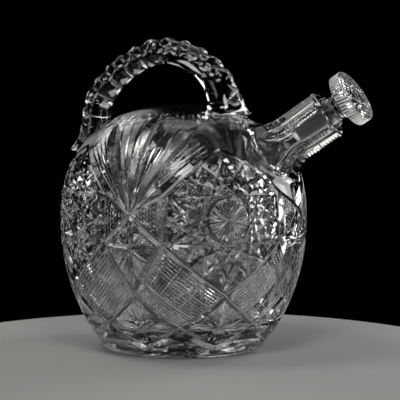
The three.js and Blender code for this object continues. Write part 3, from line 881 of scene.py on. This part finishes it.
def makeStopper():
    s = stopperShape
    foot = lip - s['plug']
    high = lip + s['face'] - s['crown']
    low = high - s['rim']
    flat = s['head'] - s['rimRound']
    inner = flat - s['ring']
    start = lip + s['shank']
    grooveEnd = start + s['groove']
    soft = s['soft']
    def plug(along):
        return boreShape['mouth'] - s['gap'] - (lip - along) * boreShape['taper']
    outline = [
        (0, foot), (plug(foot) - s['edge'], foot), (plug(foot) - soft, foot + soft),
        (plug(foot), foot + s['edge']), (plug(lip), lip), (plug(lip) - s['shankInset'], start),
        (s['grooveRadius'] + soft, start + s['grooveRings'][0]),
        (s['grooveRadius'], start + s['grooveRings'][1]), (s['grooveRadius'], grooveEnd - soft),
        (s['collar'] - s['collarSoft'], grooveEnd + s['collarSoft']),
        (s['collar'], grooveEnd + s['edge']), (s['collar'], low - 2 * s['edge']),
        (s['collar'] + s['collarSwell'], low - s['edge']), (flat, low),
    ]
    for a in (*s['bends'], math.pi / 2):
        outline.append((flat + s['rimRound'] * math.sin(a), low + s['rimRound'] * (1 - math.cos(a))))
    for a in (0, *s['bends']):
        outline.append((flat + s['rimRound'] * math.cos(a), high - s['rimRound'] * (1 - math.sin(a))))
    ringMiddle = flat - s['ring'] / 2
    outline += [
        (flat - s['ringEdge'], high), (ringMiddle + soft, high - s['ringDepth']),
        (ringMiddle - soft, high - s['ringDepth']),
    ]
    for k in range(s['crownRings'], -1, -1):
        share = k / s['crownRings']
        outline.append((inner * share, high + s['crown'] * (1 - share ** 2)))
    stopper = spunGlass('stopperGlass', outline, s['facets'], cutCrystal)
    ontoNeck(stopper)
    c = stopperCuts
    tools = []
    for i in range(c['notches']):
        angle = (i + 0.5) / c['notches'] * 2 * math.pi
        turns = (angle - c['notchLean'], angle, angle + c['notchLean'])
        heights = (low - c['notchPast'], (low + high) / 2, high + c['notchPast'])
        points = [neckPoint(along, s['head'], turn) for along, turn in zip(heights, turns)]
        normals = [(neckPoint(0, 1, turn) - neckFoot).normalized() for turn in turns]
        path = wedgePath(points, normals, c['notchWidth'], c['notchDepth'], even)
        tools.append(wheel('rimNotch', [path], rimMatt))
    def face(radius, share):
        up = high + s['crown'] * (1 - min(radius / inner, 1) ** 2)
        return neckPoint(up, radius, share * 2 * math.pi)
    def faceCut(stops, width, depth, profile=even):
        path = wedgePath(stops, [neckAxis] * len(stops), width, depth, profile)
        tools.append(wheel('faceCut', [path], cutCrystal))
    reach = inner - soft
    chords = c['chords']
    middle = neckAxis * (s['crown'] * c['chordLift'])
    for i in range(chords):
        a, b = face(reach, i / chords), face(reach, (i + c['chordReach']) / chords)
        faceCut([a, a.lerp(b, 0.5) + middle, b], c['chordWidth'], c['chordDepth'])
        outer = [face(reach * share, (i + 0.5) / chords) for share in c['leafShares']]
        faceCut(outer, c['leafWidth'], c['leafDepth'], leaf)
    for i in range(c['hobLines']):
        share = i / c['hobLines'] / 2
        a, b = face(reach * c['hob'], share), face(reach * c['hob'], share + 0.5)
        faceCut([a, a.lerp(b, 0.5), b], c['hobWidth'], c['hobDepth'])
    combine(stopper, tools, 'DIFFERENCE')
    polish(stopper, s['sharpFrom'])
    # the plug is ground matt
    stopper.data.materials.append(groundCrystal)
    ground = len(stopper.data.materials) - 1
    for polygon in stopper.data.polygons:
        if (polygon.center / mm - neckFoot).dot(neckAxis) < lip - s['groundBelow']:
            polygon.material_index = ground
    report('stopper', stopper)
    return stopper


print('making the glass')
body = makeBody()
handle = makeHandle()
stopper = makeStopper()

for piece, rider, nodes, slotName in (
        (body, 'jug', ('jug_body', 'neck'), 'body_crystal'),
        (handle, 'jug', ('handle',), 'handle_crystal'),
        (stopper, 'stopper', ('stopper',), 'stopper_crystal')):
    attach(piece, rider)
    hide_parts(*nodes)

# table, light and camera, in metres
tableSettings = {
    'radius': 0.2, 'rim': 0.012, 'colour': (0.62, 0.62, 0.61), 'roughness': 0.6,
    'centre': (0.03, -0.066, 0.0), 'facets': 128,
}
dropSelection()
bpy.ops.mesh.primitive_circle_add(
    vertices=tableSettings['facets'], radius=tableSettings['radius'], fill_type='NGON',
    location=tableSettings['centre'])
table = bpy.context.object
table.name = 'table'
bpy.ops.object.transform_apply(location=True, rotation=True, scale=True)
editAll()
bpy.ops.mesh.extrude_region_move(TRANSFORM_OT_translate={"value": (0, 0, -tableSettings['rim'])})
editAll()
bpy.ops.mesh.normals_make_consistent(inside=False)
bpy.ops.object.mode_set(mode='OBJECT')
tablePaint = bpy.data.materials.new('tablePaint')
tablePaint.use_nodes = True
paint = tablePaint.node_tree.nodes['Principled BSDF']
paint.inputs['Base Color'].default_value = (*tableSettings['colour'], 1)
paint.inputs['Roughness'].default_value = tableSettings['roughness']
table.data.materials.append(tablePaint)

world = scene.world or bpy.data.worlds.new('studio')
scene.world = world
world.use_nodes = True
background = world.node_tree.nodes['Background']
background.inputs['Color'].default_value = (0.0, 0.0, 0.0, 1)
background.inputs['Strength'].default_value = 1.0

# each lamp stands to a side of the camera's own direction and rises over the table, seen from what
# it aims at: name, aim, side and rise in degrees, distance, size, power in watts, colour
jugMiddle, stopperMiddle = (0.0, 0.0, 0.09), (0.108, 0.0, 0.157)
lamps = (
    ('leftTopSoftbox', jugMiddle, -90, 62, 1.2, 0.4, 2.3, (1.0, 0.98, 0.95)),
    ('frontLeftSoftbox', jugMiddle, -50, 8, 1.2, 0.4, 0.8, (1.0, 0.99, 0.97)),
    ('frontRightSoftbox', jugMiddle, 50, 8, 1.2, 0.4, 1.6, (1.0, 0.99, 0.97)),
    ('leftBackSoftbox', jugMiddle, -125, 35, 1.2, 0.4, 0.9, (1.0, 0.96, 0.92)),
    ('farLeftSoftbox', jugMiddle, -150, 35, 1.2, 0.4, 0.5, (1.0, 0.97, 0.94)),
    ('rearLeftSoftbox', jugMiddle, -162, 15, 1.2, 0.45, 0.17, (0.97, 0.98, 1.0)),
    ('topBackSoftbox', jugMiddle, 180, 62, 1.2, 0.4, 0.35, (1.0, 1.0, 1.0)),
    ('rearRightSoftbox', jugMiddle, 165, 24, 1.2, 0.26, 0.1, (1.0, 1.0, 1.0)),
    ('rightBackSoftbox', jugMiddle, 125, 35, 1.2, 0.4, 2.1, (1.0, 0.98, 0.96)),
    ('rightLowSoftbox', jugMiddle, 108, 8, 1.2, 0.5, 2.8, (0.95, 0.97, 1.0)),
    ('stopperSoftbox', stopperMiddle, -25, 40, 0.3, 0.1, 0.26, (1.0, 0.99, 0.97)),
    ('rimSpot', stopperMiddle, 62, 6, 0.6, 0.05, 0.03, (1.0, 0.99, 0.97)),
)
beams = {'rimSpot': 6}  # degrees: a narrow beam, for the stopper's head alone
cameraSettings = {
    'azimuth': 24.0, 'elevation': 6.0, 'distance': 1.2, 'halfWidth': 0.1264,
    'target': (0.0095, 0.0042, 0.0925), 'sensor': 36.0, 'clipStart': 0.01,
}
turn, lift = math.radians(cameraSettings['azimuth']), math.radians(cameraSettings['elevation'])
toward = Vector((math.sin(turn) * math.cos(lift), -math.cos(turn) * math.cos(lift), math.sin(lift)))

for name, aim, side, rise, distance, size, power, colour in lamps:
    lamp = bpy.data.lights.new(name, 'AREA')
    lamp.shape = 'SQUARE'
    lamp.size = size
    lamp.energy = power
    lamp.color = colour
    if name in beams:
        lamp.spread = math.radians(beams[name])
    stand = bpy.data.objects.new(name, lamp)
    scene.collection.objects.link(stand)
    stand.visible_camera = False
    angle = turn + math.radians(side)
    away = Vector((math.sin(angle), -math.cos(angle), 0)) * math.cos(math.radians(rise))
    away.z = math.sin(math.radians(rise))
    stand.location = Vector(aim) + away * distance
    stand.rotation_euler = (-away).to_track_quat('-Z', 'Y').to_euler()

lens = bpy.data.cameras.new('camera')
camera = bpy.data.objects.new('camera', lens)
scene.collection.objects.link(camera)
camera.location = Vector(cameraSettings['target']) + toward * cameraSettings['distance']
camera.rotation_euler = (-toward).to_track_quat('-Z', 'Y').to_euler()
lens.sensor_width = cameraSettings['sensor']
lens.lens = cameraSettings['sensor'] / 2 / cameraSettings['halfWidth'] * cameraSettings['distance']
lens.clip_start = cameraSettings['clipStart']
scene.camera = camera
scene.view_settings.view_transform = 'Standard'
